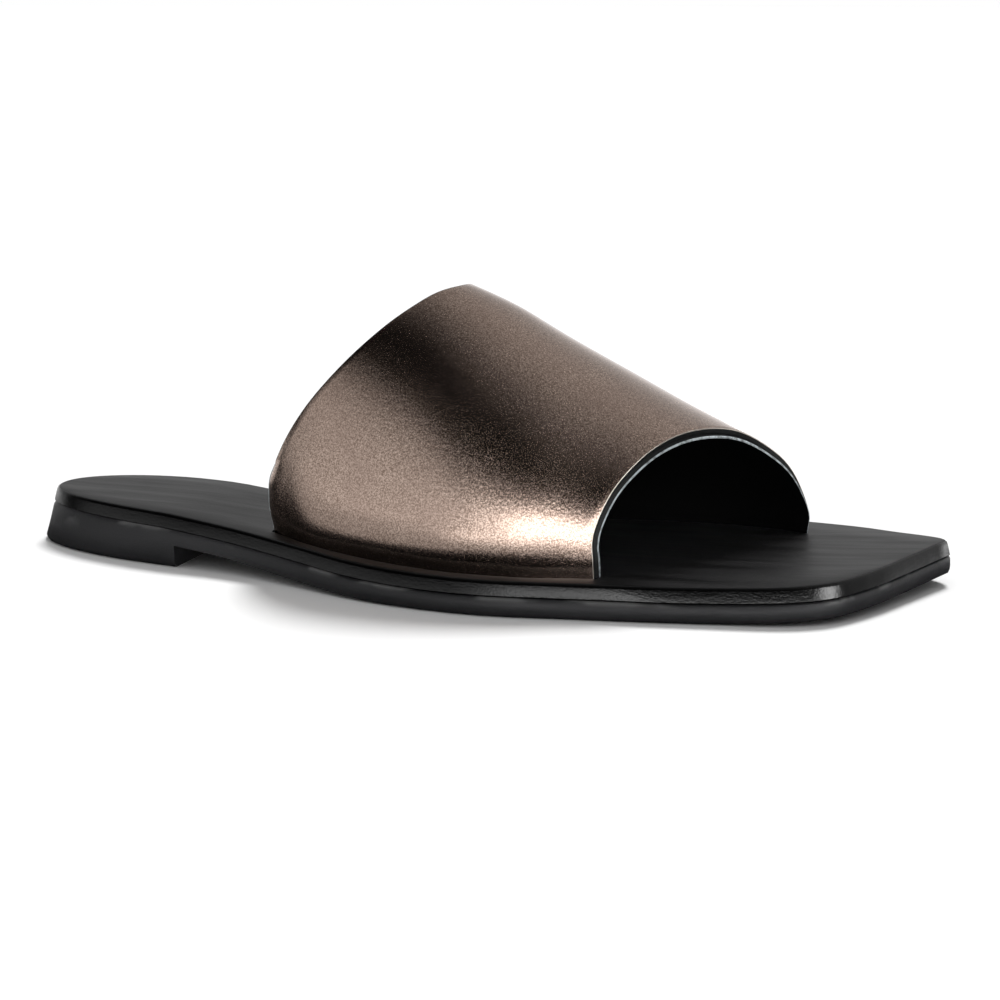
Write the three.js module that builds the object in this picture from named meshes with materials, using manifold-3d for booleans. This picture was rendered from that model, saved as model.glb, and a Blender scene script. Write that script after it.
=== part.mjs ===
// Slide sandal, right shoe: outsole with its low heel, footbed and one wide strap.
// Millimetres, +X to the toe, +Y to the inner (medial) side of the foot, +Z up, floor at Z = 0.
import * as THREE from 'three';
import { mergeVertices } from 'three/addons/utils/BufferGeometryUtils.js';
import Module from 'manifold-3d';

// Driving sizes
const LENGTH = 258; // footbed, heel to toe
const BALL_WIDTH = 91; // footbed, across the ball
const HEEL_TOP = 15.7; // floor to the top of the footbed at the back of the heel
const FOOTBED_THICKNESS = 4.0;
const OUTSOLE_THICKNESS = 5.2; // under the ball
const BREAST_HEIGHT = 6.5; // floor to the underside just ahead of the heel block
const TOE_SPRING = 3.2; // rise of the tread at the toe tip
const TOE_TAPER = 0.2; // how much thinner the outsole is at the toe tip
const INSTEP_HEIGHT = 71; // top of the footbed to the strap's highest line
const STRAP_WALL = 2.2; // leather and lining together
const CUT_SLANT = 1.5; // the lining reaches this much beyond the leather at each cut edge
const STRAP_BULGE = 2.45; // how far the strap's side swells out over its foot
const BULGE_HEIGHT = 11; // height of that swell above the footbed
const ARCH_ROUNDNESS = 2.2; // 2 is an ellipse, more is squarer
const OUTSOLE_MARGIN = 0.8; // outsole proud of the footbed
const HEEL_FLARE = 2.7; // how much the heel spreads towards the floor at its back
const RIM_RADIUS = 1.0; // rounded top edge of the footbed
const FOOTBED_FLARE = 0.75; // footbed side, wider at the bottom than at the rim
const BALL_UPRIGHT = 0.4; // the footbed's side leans out this much less beside the ball
const UPRIGHT_AT = 0.645; // middle of that stretch, a share of LENGTH
const UPRIGHT_REACH = 0.115; // half of its length, a share of LENGTH
const RIM_BEND = 0.3; // share of a rounded edge's radius at the middle of its bend
const FOOTBED_LIP = 0.4; // small bevel where the footbed's side meets the joint
const TREAD_RADIUS = 1.5; // rounded lower edge of the outsole
const SHOULDER_INSET = 0.5; // top edge of the outsole, drawn in at the joint
const SHOULDER_AT = 0.1; // share of the outsole's side taken by that shoulder
const SIDE_BELLY = 0.1; // the outsole's side stands out this much halfway down
const SEAM_GAP = 0.3; // clearance between neighbouring pieces
const SPRING_START = 0.733; // share of the length where the toe starts to rise
const BREAST_AT = 0.194; // share of the length where the heel block ends

const BALL_TOP = OUTSOLE_THICKNESS + SEAM_GAP + FOOTBED_THICKNESS;

// Ribs of the footbed from heel to toe: both ends of each rib.
// The At columns are shares of LENGTH from the heel, the side columns shares of BALL_WIDTH from the middle.
const RIBS = [
  { lateralAt: 0.0000, lateral: -0.055, medialAt: 0.0000, medial: 0.055 },
  { lateralAt: 0.0065, lateral: 0.027, medialAt: 0.0066, medial: 0.119 },
  { lateralAt: 0.0265, lateral: 0.091, medialAt: 0.0252, medial: 0.179 },
  { lateralAt: 0.066, lateral: 0.163, medialAt: 0.062, medial: 0.234 },
  { lateralAt: 0.120, lateral: 0.226, medialAt: 0.120, medial: 0.263 },
  { lateralAt: 0.190, lateral: 0.279, medialAt: 0.190, medial: 0.249 },
  { lateralAt: 0.267, lateral: 0.320, medialAt: 0.267, medial: 0.227 },
  { lateralAt: 0.353, lateral: 0.413, medialAt: 0.353, medial: 0.233 },
  { lateralAt: 0.442, lateral: 0.516, medialAt: 0.442, medial: 0.288 },
  { lateralAt: 0.558, lateral: 0.570, medialAt: 0.547, medial: 0.385 },
  { lateralAt: 0.674, lateral: 0.530, medialAt: 0.674, medial: 0.470 },
  { lateralAt: 0.791, lateral: 0.475, medialAt: 0.802, medial: 0.487 },
  { lateralAt: 0.874, lateral: 0.425, medialAt: 0.888, medial: 0.418 },
  { lateralAt: 0.911, lateral: 0.360, medialAt: 0.938, medial: 0.337 },
  { lateralAt: 0.931, lateral: 0.275, medialAt: 0.972, medial: 0.280 },
  { lateralAt: 0.942, lateral: 0.211, medialAt: 0.990, medial: 0.237 },
  { lateralAt: 0.950, lateral: 0.160, medialAt: 0.995, medial: 0.200 },
];

// Side view. rise is a share of the heel's extra height, waist a share of BREAST_HEIGHT.
const PROFILE = [
  { at: 0.000, rise: 1.000, waist: 1.000 },
  { at: 0.170, rise: 0.903, waist: 1.000 },
  { at: 0.267, rise: 0.560, waist: 0.670 },
  { at: 0.345, rise: 0.325, waist: 0.365 },
  { at: 0.422, rise: 0.126, waist: 0.140 },
  { at: 0.480, rise: 0.045, waist: 0.035 },
  { at: 0.519, rise: 0.015, waist: 0.000 },
  { at: 0.578, rise: 0.000, waist: 0.000 },
  { at: 1.000, rise: 0.000, waist: 0.000 },
];

// Arches of the strap over the foot: at is a share of LENGTH, the feet are shares of BALL_WIDTH,
// crown is a share of INSTEP_HEIGHT and bulge one of STRAP_BULGE.
const ARCHES = [
  { at: 0.287, lateralFoot: 0.258, medialFoot: 0.148, crown: 1.010, bulge: 0.40 },
  { at: 0.306, lateralFoot: 0.280, medialFoot: 0.148, crown: 1.015, bulge: 0.45 },
  { at: 0.360, lateralFoot: 0.368, medialFoot: 0.154, crown: 1.020, bulge: 0.75 },
  { at: 0.422, lateralFoot: 0.434, medialFoot: 0.187, crown: 1.025, bulge: 1.00 },
  { at: 0.481, lateralFoot: 0.481, medialFoot: 0.242, crown: 1.012, bulge: 1.00 },
  { at: 0.539, lateralFoot: 0.508, medialFoot: 0.300, crown: 0.938, bulge: 1.00 },
  { at: 0.597, lateralFoot: 0.505, medialFoot: 0.346, crown: 0.814, bulge: 0.85 },
  { at: 0.674, lateralFoot: 0.457, medialFoot: 0.385, crown: 0.653, bulge: 0.50 },
  { at: 0.733, lateralFoot: 0.434, medialFoot: 0.396, crown: 0.537, bulge: 0.45 },
  { at: 0.779, lateralFoot: 0.420, medialFoot: 0.383, crown: 0.458, bulge: 0.42 },
  { at: 0.868, lateralFoot: 0.396, medialFoot: 0.288, crown: 0.297, bulge: 0.45 },
];

// Cut edges of the strap. around goes from the lateral foot (0) over the crown to the medial foot (1),
// rear and front are shares of LENGTH from the heel.
const EDGES = [
  { around: 0.000, rear: 0.3089, front: 0.6780 },
  { around: 0.025, rear: 0.3042, front: 0.6779 },
  { around: 0.050, rear: 0.3041, front: 0.6765 },
  { around: 0.072, rear: 0.3121, front: 0.6777 },
  { around: 0.095, rear: 0.3215, front: 0.6809 },
  { around: 0.147, rear: 0.3492, front: 0.6901 },
  { around: 0.225, rear: 0.3965, front: 0.7081 },
  { around: 0.301, rear: 0.4400, front: 0.7256 },
  { around: 0.392, rear: 0.4799, front: 0.7463 },
  { around: 0.500, rear: 0.5043, front: 0.7702 },
  { around: 0.620, rear: 0.4985, front: 0.7955 },
  { around: 0.716, rear: 0.4700, front: 0.8185 },
  { around: 0.850, rear: 0.4370, front: 0.8330 },
  { around: 0.950, rear: 0.4180, front: 0.8403 },
  { around: 1.000, rear: 0.4140, front: 0.8385 },
];

// Faces per piece
const RIB_STEPS = 56;
const ACROSS_STEPS = 6;
const STRAP_LENGTH_STEPS = 20;
const STRAP_ARCH_STEPS = 52;
const STRAP_CROWDING = 0.7; // rows of the strap lie closer near its feet, 0 is evenly
const SLOT_STEPS = 18;
const WAIST_STEPS = 14;

// Steps for the slopes of the strap's skin: millimetres along it, and a share around it
const LENGTH_PROBE = 0.5;
const AROUND_PROBE = 0.01;
const MERGE_DISTANCE = 1e-4;

const along = (share) => LENGTH * (share - 0.5);
const shareAt = (x) => x / LENGTH + 0.5;

// Smooth value of one column of a table: a cubic that never overshoots its rows.
function column(rows, key, name) {
  const steps = rows.slice(1).map((row, i) => row[key] - rows[i][key]);
  const slopes = steps.map((step, i) => (rows[i + 1][name] - rows[i][name]) / step);
  const tangents = rows.map((row, i) => {
    if (i === 0) return slopes[0];
    if (i === rows.length - 1) return slopes[i - 1];
    if (slopes[i - 1] * slopes[i] <= 0) return 0;
    const before = 2 * steps[i] + steps[i - 1];
    const after = steps[i] + 2 * steps[i - 1];
    return (before + after) / (before / slopes[i - 1] + after / slopes[i]);
  });
  return (at) => {
    let i = 0;
    while (i < steps.length - 1 && at > rows[i + 1][key]) i += 1;
    const u = THREE.MathUtils.clamp((at - rows[i][key]) / steps[i], 0, 1);
    const h00 = (1 + 2 * u) * (1 - u) ** 2;
    const h10 = u * (1 - u) ** 2;
    const h01 = u * u * (3 - 2 * u);
    const h11 = u * u * (u - 1);
    return h00 * rows[i][name] + h01 * rows[i + 1][name]
      + steps[i] * (h10 * tangents[i] + h11 * tangents[i + 1]);
  };
}

const riseAt = column(PROFILE, 'at', 'rise');
const waistAt = column(PROFILE, 'at', 'waist');

const toeShare = (x) => (Math.max(0, shareAt(x) - SPRING_START) / (1 - SPRING_START)) ** 2;

const footbedTop = (x) => BALL_TOP + (HEEL_TOP - BALL_TOP) * riseAt(shareAt(x))
  + (TOE_SPRING - TOE_TAPER) * toeShare(x);
const footbedBottom = (x) => footbedTop(x) - FOOTBED_THICKNESS;
const outsoleTop = (x) => footbedBottom(x) - SEAM_GAP;
const treadHeight = (x) => TOE_SPRING * toeShare(x);

// The outline as one smooth curve from the medial toe corner round the heel to the lateral one.
function outlineCurve() {
  const medial = RIBS.map((rib) => new THREE.Vector3(along(rib.medialAt), BALL_WIDTH * rib.medial, 0));
  const lateral = RIBS.map((rib) => new THREE.Vector3(along(rib.lateralAt), -BALL_WIDTH * rib.lateral, 0));
  return new THREE.CatmullRomCurve3([...medial.reverse(), ...lateral.slice(1)], false, 'centripetal');
}

// Boundary points of the sole in order: lateral side from heel to toe, toe edge, medial side back.
function soleBoundary() {
  const curve = outlineCurve();
  const points = [];
  for (let i = 0; i <= RIB_STEPS; i += 1) points.push(curve.getPoint(0.5 + (0.5 * i) / RIB_STEPS));
  const start = points[RIB_STEPS];
  const end = curve.getPoint(0);
  for (let k = 1; k < ACROSS_STEPS; k += 1) points.push(start.clone().lerp(end, k / ACROSS_STEPS));
  for (let i = RIB_STEPS; i >= 1; i -= 1) points.push(curve.getPoint(0.5 - (0.5 * i) / RIB_STEPS));
  return points;
}

function outwardNormals(points) {
  return points.map((point, i) => {
    const before = points[(i + points.length - 1) % points.length];
    const after = points[(i + 1) % points.length];
    return new THREE.Vector3(after.y - before.y, before.x - after.x, 0).normalize();
  });
}

function closedGeometry(vertices, faces) {
  const geometry = new THREE.BufferGeometry();
  const numbers = vertices.flatMap((vertex) => vertex.toArray());
  geometry.setAttribute('position', new THREE.Float32BufferAttribute(numbers, 3));
  geometry.setIndex(faces.flat());
  return geometry;
}

// A layer of the sole: rings from top to bottom, each an outset of the boundary and a height over it.
function soleLayer(rings) {
  const boundary = soleBoundary();
  const normals = outwardNormals(boundary);
  const count = boundary.length;
  const vertices = [];
  const faces = [];
  for (const ring of rings) {
    boundary.forEach((point, i) => {
      const moved = point.clone().addScaledVector(normals[i], ring.outset(point.x));
      moved.z = ring.height(moved.x);
      vertices.push(moved);
    });
  }
  for (let level = 0; level < rings.length - 1; level += 1) {
    for (let i = 0; i < count; i += 1) {
      const a = level * count + i;
      const b = level * count + ((i + 1) % count);
      faces.push([a, a + count, b + count], [a, b + count, b]);
    }
  }
  const cap = (level, flip) => {
    const first = level * count;
    const rows = [];
    for (let i = 0; i <= RIB_STEPS; i += 1) {
      const lateral = first + i;
      const medial = first + (i === 0 ? 0 : count - i);
      const row = [lateral];
      for (let k = 1; k < ACROSS_STEPS; k += 1) {
        if (i === 0) row.push(lateral);
        else if (i === RIB_STEPS) row.push(first + RIB_STEPS + k);
        else {
          const inner = vertices[lateral].clone().lerp(vertices[medial], k / ACROSS_STEPS);
          inner.z = rings[level].height(inner.x);
          vertices.push(inner);
          row.push(vertices.length - 1);
        }
      }
      row.push(medial);
      rows.push(row);
    }
    for (let i = 0; i < RIB_STEPS; i += 1) {
      for (let k = 0; k < ACROSS_STEPS; k += 1) {
        const [a, b, c, d] = [rows[i][k], rows[i + 1][k], rows[i + 1][k + 1], rows[i][k + 1]];
        for (const face of [[a, b, c], [a, c, d]]) {
          if (new Set(face).size === 3) faces.push(flip ? face.reverse() : face);
        }
      }
    }
  };
  cap(0, false);
  cap(rings.length - 1, true);
  return closedGeometry(vertices, faces);
}

function outsoleBlank() {
  const back = (x) => Math.max(0, 1 - shareAt(x) / BREAST_AT);
  const side = (down, outset) => ({
    outset: (x) => OUTSOLE_MARGIN + outset + HEEL_FLARE * back(x) * down,
    height: (x) => THREE.MathUtils.lerp(outsoleTop(x), treadHeight(x), down),
  });
  const overTread = (outset, lift) => ({
    outset: side(1, outset).outset,
    height: (x) => treadHeight(x) + lift,
  });
  return soleLayer([
    side(0, -SHOULDER_INSET),
    side(SHOULDER_AT, 0),
    side(0.5, SIDE_BELLY),
    overTread(0, TREAD_RADIUS),
    overTread(-RIM_BEND * TREAD_RADIUS, RIM_BEND * TREAD_RADIUS),
    overTread(-TREAD_RADIUS, 0),
  ]);
}

// The hollow under the waist: a bar across the sole with the waist's curve on top.
function waistHollow() {
  const shape = new THREE.Shape();
  const end = PROFILE.find((row) => row.waist === 0).at;
  shape.moveTo(along(BREAST_AT), -BREAST_HEIGHT);
  for (let i = 0; i <= WAIST_STEPS; i += 1) {
    const at = THREE.MathUtils.lerp(BREAST_AT, end, i / WAIST_STEPS);
    shape.lineTo(along(at), BREAST_HEIGHT * waistAt(at));
  }
  shape.lineTo(along(end), -BREAST_HEIGHT);
  const bar = new THREE.ExtrudeGeometry(shape, { depth: 2 * BALL_WIDTH, bevelEnabled: false });
  bar.rotateX(Math.PI / 2);
  bar.translate(0, BALL_WIDTH, 0);
  return bar;
}

function footbedBlank() {
  const flare = (x) => {
    const away = Math.abs(shareAt(x) - UPRIGHT_AT) / UPRIGHT_REACH;
    return FOOTBED_FLARE - BALL_UPRIGHT * (1 - THREE.MathUtils.smoothstep(away, 0.5, 1));
  };
  const ring = (outset, drop) => ({ outset, height: (x) => footbedTop(x) - drop });
  return soleLayer([
    ring(() => -RIM_RADIUS, 0),
    ring(() => -RIM_BEND * RIM_RADIUS, RIM_BEND * RIM_RADIUS),
    ring(() => 0, RIM_RADIUS),
    ring(flare, FOOTBED_THICKNESS - FOOTBED_LIP),
    ring((x) => flare(x) - FOOTBED_LIP, FOOTBED_THICKNESS),
  ]);
}

const archColumns = Object.fromEntries(
  ['lateralFoot', 'medialFoot', 'crown', 'bulge'].map((name) => [name, column(ARCHES, 'at', name)]),
);
const rearEdge = column(EDGES, 'around', 'rear');
const frontEdge = column(EDGES, 'around', 'front');

// Outer skin of the strap at a place along the foot and around the arch (0 lateral foot, 1 medial foot).
function strapSkin(x, around) {
  const at = shareAt(x);
  const lateral = -BALL_WIDTH * archColumns.lateralFoot(at);
  const medial = BALL_WIDTH * archColumns.medialFoot(at);
  const angle = Math.PI * THREE.MathUtils.clamp(around, 0, 1);
  const power = 2 / ARCH_ROUNDNESS;
  const sideways = Math.sign(Math.cos(angle)) * Math.abs(Math.cos(angle)) ** power;
  const height = INSTEP_HEIGHT * archColumns.crown(at) * Math.max(0, Math.sin(angle)) ** power;
  const level = height / BULGE_HEIGHT;
  const bulge = STRAP_BULGE * archColumns.bulge(at) * level * Math.exp(1 - level);
  const middle = (lateral + medial) / 2;
  const half = (medial - lateral) / 2;
  return new THREE.Vector3(x, middle - (half + bulge) * sideways, footbedTop(x) + height);
}

function strapNormal(x, around) {
  const near = THREE.MathUtils.clamp(around, AROUND_PROBE, 1 - AROUND_PROBE);
  const ahead = strapSkin(x + LENGTH_PROBE, near).sub(strapSkin(x - LENGTH_PROBE, near));
  const over = strapSkin(x, near + AROUND_PROBE).sub(strapSkin(x, near - AROUND_PROBE));
  return new THREE.Vector3().crossVectors(ahead, over).normalize();
}

// Sideways normal of the strap where it stands in its slit.
function footNormal(x, around) {
  const ahead = strapSkin(x + LENGTH_PROBE, around).sub(strapSkin(x - LENGTH_PROBE, around));
  const out = around < 0.5 ? -1 : 1;
  return new THREE.Vector3(-ahead.y, ahead.x, 0).normalize().multiplyScalar(out);
}

// Rows of the strap from one foot to the other: the feet reach down through the footbed.
function strapRows() {
  const rows = [{ around: 0, drop: FOOTBED_THICKNESS }];
  for (let j = 0; j <= STRAP_ARCH_STEPS; j += 1) {
    const turn = j / STRAP_ARCH_STEPS;
    const around = turn - (STRAP_CROWDING * Math.sin(2 * Math.PI * turn)) / (2 * Math.PI);
    rows.push({ around: THREE.MathUtils.clamp(around, 0, 1), drop: 0 });
  }
  rows.push({ around: 1, drop: FOOTBED_THICKNESS });
  return rows;
}

function strapGeometry() {
  const rows = strapRows();
  const width = STRAP_LENGTH_STEPS + 1;
  const vertices = [];
  const faces = [];
  for (const [depth, slant] of [[0, 0], [STRAP_WALL, CUT_SLANT]]) {
    for (const row of rows) {
      const start = along(rearEdge(row.around)) - slant;
      const end = along(frontEdge(row.around)) + slant;
      for (let i = 0; i < width; i += 1) {
        const x = THREE.MathUtils.lerp(start, end, i / STRAP_LENGTH_STEPS);
        const foot = row.around === 0 || row.around === 1;
        const normal = foot ? footNormal(x, row.around) : strapNormal(x, row.around);
        const point = strapSkin(x, row.around).addScaledVector(normal, -depth);
        point.z -= row.drop;
        vertices.push(point);
      }
    }
  }
  const inner = rows.length * width;
  const quad = (a, b, c, d) => faces.push([a, b, c], [a, c, d]);
  for (let j = 0; j < rows.length - 1; j += 1) {
    for (let i = 0; i < STRAP_LENGTH_STEPS; i += 1) {
      const a = j * width + i;
      quad(a, a + 1, a + width + 1, a + width);
      quad(inner + a, inner + a + width, inner + a + width + 1, inner + a + 1);
    }
    const rear = j * width;
    const front = rear + STRAP_LENGTH_STEPS;
    quad(rear, rear + width, inner + rear + width, inner + rear);
    quad(front + width, front, inner + front, inner + front + width);
  }
  const last = (rows.length - 1) * width;
  for (let i = 0; i < STRAP_LENGTH_STEPS; i += 1) {
    quad(i + 1, i, inner + i, inner + i + 1);
    quad(last + i, last + i + 1, inner + last + i + 1, inner + last + i);
  }
  return closedGeometry(vertices, faces);
}

// One slit of the footbed: the strap's foot with a clearance all round.
function slotCutter(around) {
  const start = along(rearEdge(around)) - SEAM_GAP;
  const end = along(frontEdge(around)) + SEAM_GAP;
  const above = FOOTBED_THICKNESS;
  const below = -2 * FOOTBED_THICKNESS;
  const vertices = [];
  const faces = [];
  const wall = (x, depth) => strapSkin(x, around).addScaledVector(footNormal(x, around), -depth);
  for (let i = 0; i <= SLOT_STEPS; i += 1) {
    const share = i / SLOT_STEPS;
    const outer = wall(THREE.MathUtils.lerp(start, end, share), -SEAM_GAP);
    const inner = wall(THREE.MathUtils.lerp(start - CUT_SLANT, end + CUT_SLANT, share), STRAP_WALL + SEAM_GAP);
    for (const [side, level] of [[outer, above], [inner, above], [inner, below], [outer, below]]) {
      vertices.push(side.clone().setZ(side.z + level));
    }
  }
  for (let i = 0; i < SLOT_STEPS; i += 1) {
    for (let k = 0; k < 4; k += 1) {
      const a = 4 * i + k;
      const b = 4 * i + ((k + 1) % 4);
      faces.push([a, b, b + 4], [a, b + 4, a + 4]);
    }
  }
  const last = 4 * SLOT_STEPS;
  faces.push([0, 2, 1], [0, 3, 2], [last, last + 1, last + 2], [last, last + 2, last + 3]);
  if (around > 0.5) return closedGeometry(vertices, faces);
  return closedGeometry(vertices, faces.map((face) => face.reverse()));
}

const wasm = await Module();
wasm.setup();

function toSolid(geometry) {
  const bare = geometry.clone();
  bare.deleteAttribute('normal');
  bare.deleteAttribute('uv');
  const merged = mergeVertices(bare, MERGE_DISTANCE);
  return new wasm.Manifold(new wasm.Mesh({
    numProp: 3,
    vertProperties: new Float32Array(merged.attributes.position.array),
    triVerts: new Uint32Array(merged.index.array),
  }));
}

function toGeometry(solid) {
  const mesh = solid.getMesh();
  const geometry = new THREE.BufferGeometry();
  geometry.setAttribute('position', new THREE.BufferAttribute(new Float32Array(mesh.vertProperties), 3));
  geometry.setIndex(new THREE.BufferAttribute(new Uint32Array(mesh.triVerts), 1));
  geometry.computeVertexNormals();
  return geometry;
}

const outsoleSolid = toSolid(outsoleBlank()).subtract(toSolid(waistHollow()));
const footbedSolid = toSolid(footbedBlank())
  .subtract(toSolid(slotCutter(0)))
  .subtract(toSolid(slotCutter(1)));
const strapSolid = toSolid(strapGeometry());

const blackRubber = new THREE.MeshStandardMaterial({ color: 0x1d1d1f, roughness: 0.6, metalness: 0 });
const blackLeather = new THREE.MeshStandardMaterial({ color: 0x242426, roughness: 0.45, metalness: 0 });
const bronzeLeather = new THREE.MeshStandardMaterial({ color: 0x8d7467, roughness: 0.35, metalness: 0.8 });

function piece(name, solid, material) {
  const mesh = new THREE.Mesh(toGeometry(solid), material);
  mesh.name = name;
  return mesh;
}

const sandal = new THREE.Group();
sandal.name = 'slide_sandal';
sandal.add(
  piece('outsole', outsoleSolid, blackRubber),
  piece('footbed', footbedSolid, blackLeather),
  piece('strap', strapSolid, bronzeLeather),
);

// The origin is the middle of the sandal's box, on the floor.
const middle = new THREE.Box3().setFromObject(sandal).getCenter(new THREE.Vector3());
sandal.position.set(-middle.x, -middle.y, 0);

export default sandal;
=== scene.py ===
import math

import bpy
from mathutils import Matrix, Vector


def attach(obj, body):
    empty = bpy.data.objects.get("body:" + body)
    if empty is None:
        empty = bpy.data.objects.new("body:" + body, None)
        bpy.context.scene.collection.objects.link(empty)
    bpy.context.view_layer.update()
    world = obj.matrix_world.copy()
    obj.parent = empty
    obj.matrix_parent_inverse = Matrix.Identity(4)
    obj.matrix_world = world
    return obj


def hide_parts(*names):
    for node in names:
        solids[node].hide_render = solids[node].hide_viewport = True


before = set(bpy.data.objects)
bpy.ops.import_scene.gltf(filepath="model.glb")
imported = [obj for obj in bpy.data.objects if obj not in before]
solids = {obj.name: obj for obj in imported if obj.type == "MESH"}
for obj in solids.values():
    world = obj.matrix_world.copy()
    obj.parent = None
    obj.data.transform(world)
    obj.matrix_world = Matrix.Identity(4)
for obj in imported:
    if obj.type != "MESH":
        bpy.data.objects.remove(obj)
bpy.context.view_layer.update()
MM = 0.001

# The camera: a long lens low on the outer side of the sandal, a little ahead of
# its middle, so that the toe comes forward and the strap's front opening shows.
CAMERA_TARGET = Vector((1.42, 28.31, 14.09)) * MM
CAMERA_PLACE = Vector((210.81, -624.50, 155.54)) * MM
CAMERA_LENS = 88.06
SENSOR_WIDTH = 36
VIEW_REACH = 200

camera = bpy.data.objects.new("camera", bpy.data.cameras.new("camera"))
bpy.context.scene.collection.objects.link(camera)
camera.data.lens = CAMERA_LENS
camera.data.sensor_width = SENSOR_WIDTH
camera.data.clip_end = VIEW_REACH
camera.location = CAMERA_PLACE
camera.rotation_euler = (CAMERA_TARGET - CAMERA_PLACE).to_track_quat("-Z", "Y").to_euler()
bpy.context.scene.camera = camera
bpy.context.scene.view_settings.view_transform = "Standard"


# The outsole: one moulded piece of black rubber with its low heel. Its side is
# satin and slightly streaked, and its upward-facing top corner is lighter in
# patches: partly a little dust, partly a painted highlight where it catches light.
class Value:
    """A number or a vector of a node tree, on which sums can be written."""

    def __init__(self, tree, socket):
        self.tree = tree
        self.socket = socket

    def math(self, operation, *others):
        """This value as the first of a Math node's inputs."""
        node = self.tree.nodes.new("ShaderNodeMath")
        node.operation = operation
        for place, value in zip(node.inputs, (self, *others)):
            connect(self.tree, place, value)
        return Value(self.tree, node.outputs[0])

    def __add__(self, other):
        return self.math("ADD", other)

    def __sub__(self, other):
        return self.math("SUBTRACT", other)

    def __rsub__(self, other):
        return (self * -1).math("ADD", other)

    def __mul__(self, other):
        return self.math("MULTIPLY", other)

    def __pow__(self, other):
        return self.math("POWER", other)

    __radd__ = __add__
    __rmul__ = __mul__


def connect(tree, place, value):
    """A socket gets a link, or else a fixed number, vector or colour."""
    if isinstance(value, Value):
        tree.links.new(value.socket, place)
    else:
        place.default_value = value


class Surface:
    """A material, or the studio's surroundings, and the nodes that make it."""

    def __init__(self, name, owner=None):
        self.owner = owner or bpy.data.materials.new(name)
        self.owner.use_nodes = True
        self.tree = self.owner.node_tree

    def node(self, kind, settings=None, output=0, **sockets):
        """A node of one type with its settings first, then the values of its sockets."""
        made = self.tree.nodes.new(kind)
        for name, value in (settings or {}).items():
            setattr(made, name, value)
        for name, value in sockets.items():
            connect(self.tree, made.inputs[name.replace("_", " ")], value)
        return Value(self.tree, made.outputs[output])

    def paint(self, **sockets):
        shader = self.tree.nodes["Principled BSDF"]
        for name, value in sockets.items():
            connect(self.tree, shader.inputs[name.replace("_", " ")], value)

    def place(self, stretch=(1, 1, 1)):
        where = self.node("ShaderNodeTexCoord", output="Object")
        return self.node("ShaderNodeMapping", Vector=where, Scale=stretch)

    def noise(self, size, detail=3, stretch=(1, 1, 1), roughness=0.5):
        where = self.place(stretch)
        return self.node(
            "ShaderNodeTexNoise", output="Fac", Vector=where,
            Scale=1 / size, Detail=detail, Roughness=roughness,
        )

    def cells(self, size, output="Distance", smooth=0.4):
        return self.node(
            "ShaderNodeTexVoronoi", {"feature": "SMOOTH_F1"}, output=output,
            Vector=self.place(), Scale=1 / size, Smoothness=smooth,
        )

    def rise(self, value, low, high, start=0.0, end=1.0):
        """A smooth change from start to end while the value goes from low to high."""
        return self.node(
            "ShaderNodeMapRange", {"interpolation_type": "SMOOTHSTEP"}, output="Result",
            Value=value, From_Min=low, From_Max=high, To_Min=start, To_Max=end,
        )

    def blend(self, share, first, second):
        """A mix of two colours, (red, green, blue) each."""
        mixed = self.tree.nodes.new("ShaderNodeMix")
        mixed.data_type = "RGBA"
        connect(self.tree, mixed.inputs["Factor"], share)
        for place, colour in ((mixed.inputs[6], first), (mixed.inputs[7], second)):
            connect(self.tree, place, colour if isinstance(colour, Value) else (*colour, 1))
        return Value(self.tree, mixed.outputs[2])

    def facing_up(self):
        normal = self.node("ShaderNodeNewGeometry", output="Normal")
        return self.node("ShaderNodeSeparateXYZ", output="Z", Vector=normal)

    def bump(self, height, depth, strength=1.0):
        return self.node("ShaderNodeBump", Height=height, Distance=depth, Strength=strength)


MERGE_WITHIN = 0.005 * MM


def copy_of(node, name):
    """A copy of a CAD solid with its corners joined, alone and selected."""
    bpy.ops.object.select_all(action="DESELECT")
    piece = bpy.data.objects.new(name, solids[node].data.copy())
    bpy.context.scene.collection.objects.link(piece)
    piece.data.materials.clear()
    piece.select_set(True)
    bpy.context.view_layer.objects.active = piece
    bpy.ops.mesh.customdata_custom_splitnormals_clear()
    bpy.ops.object.mode_set(mode="EDIT")
    bpy.ops.mesh.select_all(action="SELECT")
    bpy.ops.mesh.remove_doubles(threshold=MERGE_WITHIN)
    bpy.ops.object.mode_set(mode="OBJECT")
    return piece


def modify(piece, kind, **settings):
    """One modifier, added and applied."""
    bpy.context.view_layer.objects.active = piece
    made = piece.modifiers.new(kind.lower(), kind)
    for name, value in settings.items():
        setattr(made, name, value)
    bpy.ops.object.modifier_apply(modifier=made.name)


def finish_piece(piece, slot, *surfaces, smooth=35):
    """Smooth shading up to an angle, materials by the number that each face already has,
    and the CAD body, for one new piece."""
    bpy.ops.object.select_all(action="DESELECT")
    piece.select_set(True)
    bpy.context.view_layer.objects.active = piece
    bpy.ops.object.shade_smooth_by_angle(angle=math.radians(smooth))
    parts = [face.material_index for face in piece.data.polygons]
    piece.data.materials.clear()
    for surface in surfaces:
        piece.data.materials.append(surface.owner)
    for face, part in zip(piece.data.polygons, parts):
        face.material_index = min(part, len(surfaces) - 1)
    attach(piece, "root")


# Fine straight grooves under the ball and under the heel, clear of the outer edge.
GROOVE_PITCH = 4.5 * MM
GROOVE_WIDTH = 1.2 * MM
GROOVE_DEPTH = 0.7 * MM
GROOVE_BORDER = 7 * MM
TREAD_REACH = 5 * MM
SOLE_SMOOTH = 50
HEEL_GROOVES = (-121 * MM, 10)
BALL_GROOVES = (-14 * MM, 29)


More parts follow.
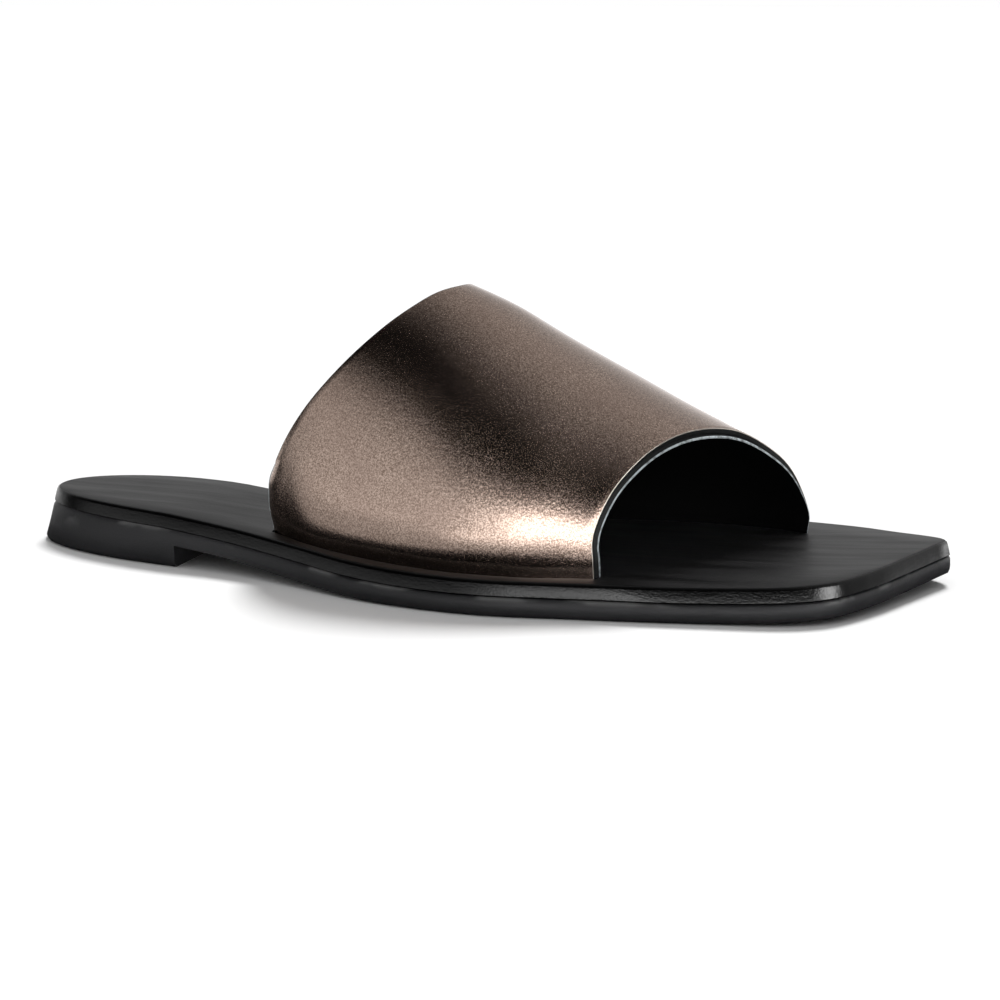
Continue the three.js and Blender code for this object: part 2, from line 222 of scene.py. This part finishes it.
def width_at(piece, x):
    """The lowest height and both sides of a piece's underside near a place along it."""
    near = [
        v.co for v in piece.data.vertices
        if abs(v.co.x - x) < GROOVE_PITCH and v.co.z < TREAD_REACH
    ]
    return min(v.z for v in near), min(v.y for v in near), max(v.y for v in near)


outsole = copy_of("outsole", "outsole_moulded")
treads = []
for start, count in (HEEL_GROOVES, BALL_GROOVES):
    for step in range(count):
        x = start + step * GROOVE_PITCH
        base, lateral, medial = width_at(outsole, x)
        across = medial - lateral - 2 * GROOVE_BORDER
        bpy.ops.mesh.primitive_cube_add(size=1, location=(x, (medial + lateral) / 2, base))
        bpy.context.object.scale = (GROOVE_WIDTH, across, 2 * GROOVE_DEPTH)
        treads.append(bpy.context.object)
for tread in treads:
    tread.select_set(True)
bpy.ops.object.join()
grooves = bpy.context.object
bpy.ops.object.transform_apply(location=True, rotation=True, scale=True)
modify(outsole, "BOOLEAN", object=grooves, operation="DIFFERENCE", solver="EXACT")
bpy.data.objects.remove(grooves)

rubber = Surface("black_rubber")
streaks = rubber.noise(6 * MM, detail=6, stretch=(0.12, 1, 1), roughness=0.6)
pores = rubber.noise(0.5 * MM, detail=2)
shoulder = rubber.rise(rubber.facing_up(), 0.2, 0.5)
# Lighter grey on the upward-facing shoulder: partly dust, partly a painted highlight where the
# shoulder catches the light.
dust_and_sheen = shoulder * rubber.rise(rubber.noise(9 * MM, stretch=(0.3, 1, 1)), 0.5, 0.6)
rubber_colour = rubber.blend(streaks, (0.015, 0.015, 0.0165), (0.031, 0.031, 0.0335))
rubber.paint(
    Base_Color=rubber.blend(dust_and_sheen, rubber_colour, (0.12, 0.12, 0.12)),
    Roughness=rubber.rise(streaks, 0.3, 0.7, 0.4, 0.56),
    Normal=rubber.bump(pores + streaks * 0.8, 0.08 * MM, 0.8),
    Specular_IOR_Level=0.36,
)
finish_piece(outsole, "outsole_rubber", rubber, smooth=SOLE_SMOOTH)
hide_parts("outsole")

# The footbed: insole board wrapped in smooth black leather, its top satin and its
# edge polished. The strap's feet go down through a slit along each side.
FOOTBED_DROP = 0.24 * MM
FACING_DOWN = -0.5

footbed = copy_of("footbed", "footbed_leather")
underside = [face for face in footbed.data.polygons if face.normal.z < FACING_DOWN]
lowered = {i for face in underside for i in face.vertices}
for i in lowered:
    footbed.data.vertices[i].co.z -= FOOTBED_DROP
black_leather = Surface("black_leather")
top = black_leather.rise(black_leather.facing_up(), 0.75, 0.97)
brushed = black_leather.noise(5 * MM, detail=7, stretch=(0.09, 1, 1), roughness=0.62)
hair = black_leather.noise(0.55 * MM, detail=3)
clouds = black_leather.noise(32 * MM, detail=3)
tone = black_leather.rise(brushed * 0.65 + clouds * 0.35, 0.32, 0.68)
top_colour = black_leather.blend(tone, (0.001, 0.001, 0.0011), (0.016, 0.0158, 0.0162))
black_leather.paint(
    Base_Color=black_leather.blend(top, (0.0006, 0.0006, 0.0007), top_colour),
    Roughness=black_leather.rise(top, 0, 1, 0.15, 0.5) + (brushed - 0.5) * 0.4,
    Normal=black_leather.bump(hair + brushed * 1.4, 0.06 * MM),
    Specular_IOR_Level=0.35,
)
finish_piece(footbed, "footbed_leather", black_leather, smooth=SOLE_SMOOTH)
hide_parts("footbed")

# The strap: one wide band of bronze metallic leather, about 1.5 mm thick, cut and
# blacked along its edges, and bent over the foot from slit to slit.
STRAP_LEATHER = 1.5 * MM
LEATHER_CORNER = 0.22 * MM
CUT_ANGLE = 50

halves = copy_of("strap", "strap")
bpy.ops.object.mode_set(mode="EDIT")
bpy.ops.mesh.select_mode(type="EDGE")
bpy.ops.mesh.select_all(action="DESELECT")
bpy.ops.mesh.edges_select_sharp(sharpness=math.radians(CUT_ANGLE))
bpy.ops.mesh.edge_split(type="EDGE")
bpy.ops.mesh.select_all(action="SELECT")
bpy.ops.mesh.separate(type="LOOSE")
bpy.ops.object.mode_set(mode="OBJECT")


def skin_area(piece):
    """The area of one loose part of the strap's solid."""
    return sum(face.area for face in piece.data.polygons)


sheets = sorted(bpy.context.selected_objects, key=skin_area, reverse=True)
strap_leather, strap_lining = sheets[:2]
for trimming in sheets[2:]:
    bpy.data.objects.remove(trimming)
strap_leather.name = "strap_leather"
strap_lining.name = "strap_lining"


SKIN, BACK, CUT, CORNER = range(4)
FACE_NUMBERS = 4


def thicken(sheet, thickness, corner, trimmed):
    """A skin of the strap becomes a smooth layer. Its faces are numbered: 0 for the skin, 1 for
    its back, 2 for the cut edge, and 3 for the rounded corner beside the trimmed face."""
    bpy.ops.object.select_all(action="DESELECT")
    sheet.select_set(True)
    bpy.context.view_layer.objects.active = sheet
    bpy.ops.object.mode_set(mode="EDIT")
    bpy.ops.mesh.select_all(action="SELECT")
    bpy.ops.mesh.tris_convert_to_quads(face_threshold=math.pi, shape_threshold=math.pi)
    bpy.ops.object.mode_set(mode="OBJECT")
    modify(sheet, "SUBSURF", levels=1, render_levels=1)
    sheet.data.materials.clear()
    for _ in range(FACE_NUMBERS):
        sheet.data.materials.append(None)
    modify(sheet, "SOLIDIFY", thickness=thickness, offset=-1, use_even_offset=True,
           material_offset=BACK, material_offset_rim=CUT)
    for face in sheet.data.polygons:
        face.select = face.material_index == trimmed
    bpy.ops.object.mode_set(mode="EDIT")
    bpy.ops.mesh.select_mode(type="FACE")
    bpy.ops.mesh.region_to_loop()
    bpy.ops.mesh.bevel(offset=corner, segments=2, material=CORNER)
    bpy.ops.object.mode_set(mode="OBJECT")


bronze = Surface("bronze_leather")
pebble = bronze.cells(0.9 * MM)
crinkle = bronze.noise(0.75 * MM, detail=2, roughness=0.5)
grit = bronze.noise(0.4 * MM, detail=3, roughness=0.6)
mottle = bronze.noise(14 * MM, detail=3)
flake = bronze.rise(grit, 0.35, 0.66)
foil = bronze.blend(flake, (0.21, 0.147, 0.115), (0.57, 0.44, 0.37))
bronze.paint(
    Base_Color=bronze.blend(bronze.rise(mottle, 0.3, 0.7, 0.0, 0.35), foil, (0.33, 0.238, 0.2)),
    Metallic=1.0,
    Roughness=bronze.rise(grit, 0.3, 0.7, 0.17, 0.24),
    Normal=bronze.bump(pebble * 0.4 + crinkle, 0.028 * MM),
)
cut_edge = Surface("blacked_cut_edge")
fibre = cut_edge.noise(0.5 * MM, detail=3)
cut_edge.paint(
    Base_Color=cut_edge.blend(fibre, (0.001, 0.001, 0.001), (0.007, 0.008, 0.008)),
    Roughness=0.55,
    Normal=cut_edge.bump(fibre, 0.1 * MM, 0.5),
    Specular_IOR_Level=0.25,
)
# The rounded outer corner of the bronze gets a lighter bronze: a painted highlight that stands
# in for the glint along the cut edge.
painted_glint_corner = Surface("painted_glint_bronze_corner")
painted_glint_corner.paint(Base_Color=(0.62, 0.56, 0.5, 1), Metallic=1.0, Roughness=0.42)
REAR_OF_STRAP = 20 * MM

thicken(strap_leather, STRAP_LEATHER, LEATHER_CORNER, trimmed=SKIN)
# Toward the rear the painted highlight is left off, and the corner is blacked like the cut
# edge.
for face in strap_leather.data.polygons:
    if face.material_index == CORNER and face.center.x < REAR_OF_STRAP:
        face.material_index = CUT
finish_piece(strap_leather, "strap_leather", bronze, cut_edge, cut_edge, painted_glint_corner)
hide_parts("strap")

# The lining: thin black leather glued inside the strap. It reaches a little beyond the
# bronze leather, and its edge is painted pale as a fine line round each opening: partly
# its lighter raw core, partly a painted highlight along the rounded edge.
STRAP_LINING = 0.55 * MM
LINING_CORNER = 0.36 * MM

thicken(strap_lining, STRAP_LINING, LINING_CORNER, trimmed=BACK)
lining = Surface("black_lining")
nap = lining.noise(0.6 * MM, detail=3)
lining.paint(
    Base_Color=lining.blend(nap, (0.0006, 0.0006, 0.0007), (0.002, 0.002, 0.0022)),
    Roughness=0.75,
    Normal=lining.bump(nap, 0.06 * MM, 0.4),
    Specular_IOR_Level=0.06,
)
# The pale edge colour is partly the lining's own lighter core and partly a painted highlight.
raw_edge_and_glint = Surface("raw_lining_edge_and_glint")
thread = raw_edge_and_glint.noise(1.5 * MM, detail=4)
raw_edge_and_glint.paint(
    Base_Color=raw_edge_and_glint.blend(
        raw_edge_and_glint.rise(thread, 0.3, 0.6), (0.16, 0.178, 0.184), (0.66, 0.73, 0.76)
    ),
    Roughness=0.5,
)
finish_piece(strap_lining, "footbed_leather", lining, cut_edge, raw_edge_and_glint, raw_edge_and_glint)

# The studio: a white floor, a soft sun from above and slightly behind for the short
# shadow, and surroundings that are bright low in front, above and behind, and dark
# between. The camera sees plain white, and only gloss sees the brighter and darker parts.
FLOOR_SIZE = 60
WHITE = (1, 1, 1, 1)

bpy.ops.mesh.primitive_plane_add(size=FLOOR_SIZE, location=(0, 0, 0))
floor = bpy.context.object
floor.name = "floor"
paper = Surface("white_floor")
paper.owner.cycles.emission_sampling = "NONE"
paper.paint(Base_Color=(0.9, 0.9, 0.9, 1), Roughness=0.9, Specular_IOR_Level=0.1)

# In gloss the floor glows instead of reflecting: a painted shadow keeps it dark close to
# the sole, it brightens away from it, and a painted pool of light lies to each side of the
# strap. Each row is from, to and the two values there, in metres.
DARK_HALF_WIDTH = (-0.09, 0.05, 0.046, 0.088)
DARK_BORDER = (-0.002, 0.003)
DARK_GLOW = 0.002
POOL_FROM_REAR = (-0.1, -0.015)
POOL_TO_FRONT = (0.04, 0.13, 1.0, 0.45)
POOL_OUTWARDS = (0.09, 0.26, 0.0, 2.3)
FAR_FLOOR = (0, 0.25, 0.6, 1.15)

spread = paper.node("ShaderNodeTexCoord", output="Object")
ahead = paper.node("ShaderNodeSeparateXYZ", output="X", Vector=spread)
aside = paper.node("ShaderNodeSeparateXYZ", output="Y", Vector=spread).math("ABSOLUTE")
beyond = aside - paper.rise(ahead, *DARK_HALF_WIDTH)
pool = paper.rise(ahead, *POOL_FROM_REAR) * paper.rise(ahead, *POOL_TO_FRONT)
pool = pool * paper.rise(aside, *POOL_OUTWARDS)
open_floor = (pool + paper.rise(beyond, *FAR_FLOOR)) * paper.rise(beyond, *DARK_BORDER)
glow_of_floor = paper.node(
    "ShaderNodeEmission", Color=WHITE, Strength=open_floor + DARK_GLOW
)
either = paper.tree.nodes.new("ShaderNodeMixShader")
connect(paper.tree, either.inputs[0], paper.node("ShaderNodeLightPath", output="Is Glossy Ray"))
paper.tree.links.new(paper.tree.nodes["Principled BSDF"].outputs[0], either.inputs[1])
connect(paper.tree, either.inputs[2], glow_of_floor)
paper.tree.links.new(either.outputs[0], paper.tree.nodes["Material Output"].inputs["Surface"])
floor.data.materials.append(paper.owner)

SUN_POWER = 2.9
SUN_WIDTH = 18
SUN_FROM = Vector((0.05, 0.6, 1))

sun = bpy.data.objects.new("overhead", bpy.data.lights.new("overhead", "SUN"))
bpy.context.scene.collection.objects.link(sun)
sun.data.energy = SUN_POWER
sun.data.angle = math.radians(SUN_WIDTH)
sun.rotation_euler = SUN_FROM.to_track_quat("Z", "Y").to_euler()
sun.visible_glossy = False

studio = bpy.context.scene.world or bpy.data.worlds.new("studio")
bpy.context.scene.world = studio
studio.cycles.sampling_method = "NONE"
around = Surface("studio", studio)
around.tree.nodes.clear()
direction = around.node("ShaderNodeTexCoord", output="Generated")


def towards(*axis):
    """How far the direction that is looked in lies along an axis, from -1 to 1."""
    made = around.tree.nodes.new("ShaderNodeVectorMath")
    made.operation = "DOT_PRODUCT"
    connect(around.tree, made.inputs[0], direction)
    made.inputs[1].default_value = Vector(axis).normalized()
    return Value(around.tree, made.outputs["Value"])


# The softbox above and behind fades evenly all round. The backdrop is brightest low down.
SOFTBOX_FADE = 1.5
SOFTBOX_LIGHT = 0.44
DARKEST = 0.006

height = towards(0, 0, 1)
softbox = (towards(0.45, 0.70, 0.55) + 0.2).math("MAXIMUM", 0) ** SOFTBOX_FADE * SOFTBOX_LIGHT
backdrop = around.rise(towards(0, 1, 0), 0.09, 0.32)
backdrop = backdrop * around.rise(height, 0.0, 0.38, 1.15, 0.56)
backdrop = backdrop * around.rise(towards(-0.3, 1, 0), 0.3, 0.9, 0.4, 1.0)

# The low white card in front is a little dimmer towards the heel. A strip light over it
# makes the highlight at the foot of the strap, and a small window the spot on the toe.
low_card = around.rise(towards(-1, -0.25, 0), 0.55, 0.95, 1.05, 0.62)
low_card = low_card + around.rise(towards(-0.66, -0.75, 0), 0.8, 1.0, 0.0, 0.3)
low_card = low_card * around.rise(height, 0.09, 0.46, 1, 0)
low_card = low_card * around.rise(towards(0.05, -1, 0), -0.1, 0.3)
strip_light = around.rise(towards(0.42, -0.91, 0), 0.76, 0.97, 0.0, 4.7)
strip_light = strip_light * around.rise(height, 0.14, 0.3, 1, 0)
window = around.rise(towards(0.905, -0.295, 0.31), 0.965, 0.995, 0.0, 12.5)
in_front = low_card + strip_light + window
in_gloss = in_front.math("MAXIMUM", softbox.math("MAXIMUM", backdrop)) + DARKEST

# All other light comes from a dome that is brightest above and a little in front.
dome = around.rise(towards(0, -0.45, 0.9), -0.1, 1.0, 0.08, 0.6)
seen = around.node("ShaderNodeLightPath", output="Is Camera Ray")
mirrored = around.node("ShaderNodeLightPath", output="Is Glossy Ray")
light = seen + in_gloss * mirrored + dome * (1 - seen - mirrored)
lit = around.node("ShaderNodeBackground", Color=WHITE, Strength=light)
connect(around.tree, around.tree.nodes.new("ShaderNodeOutputWorld").inputs["Surface"], lit)
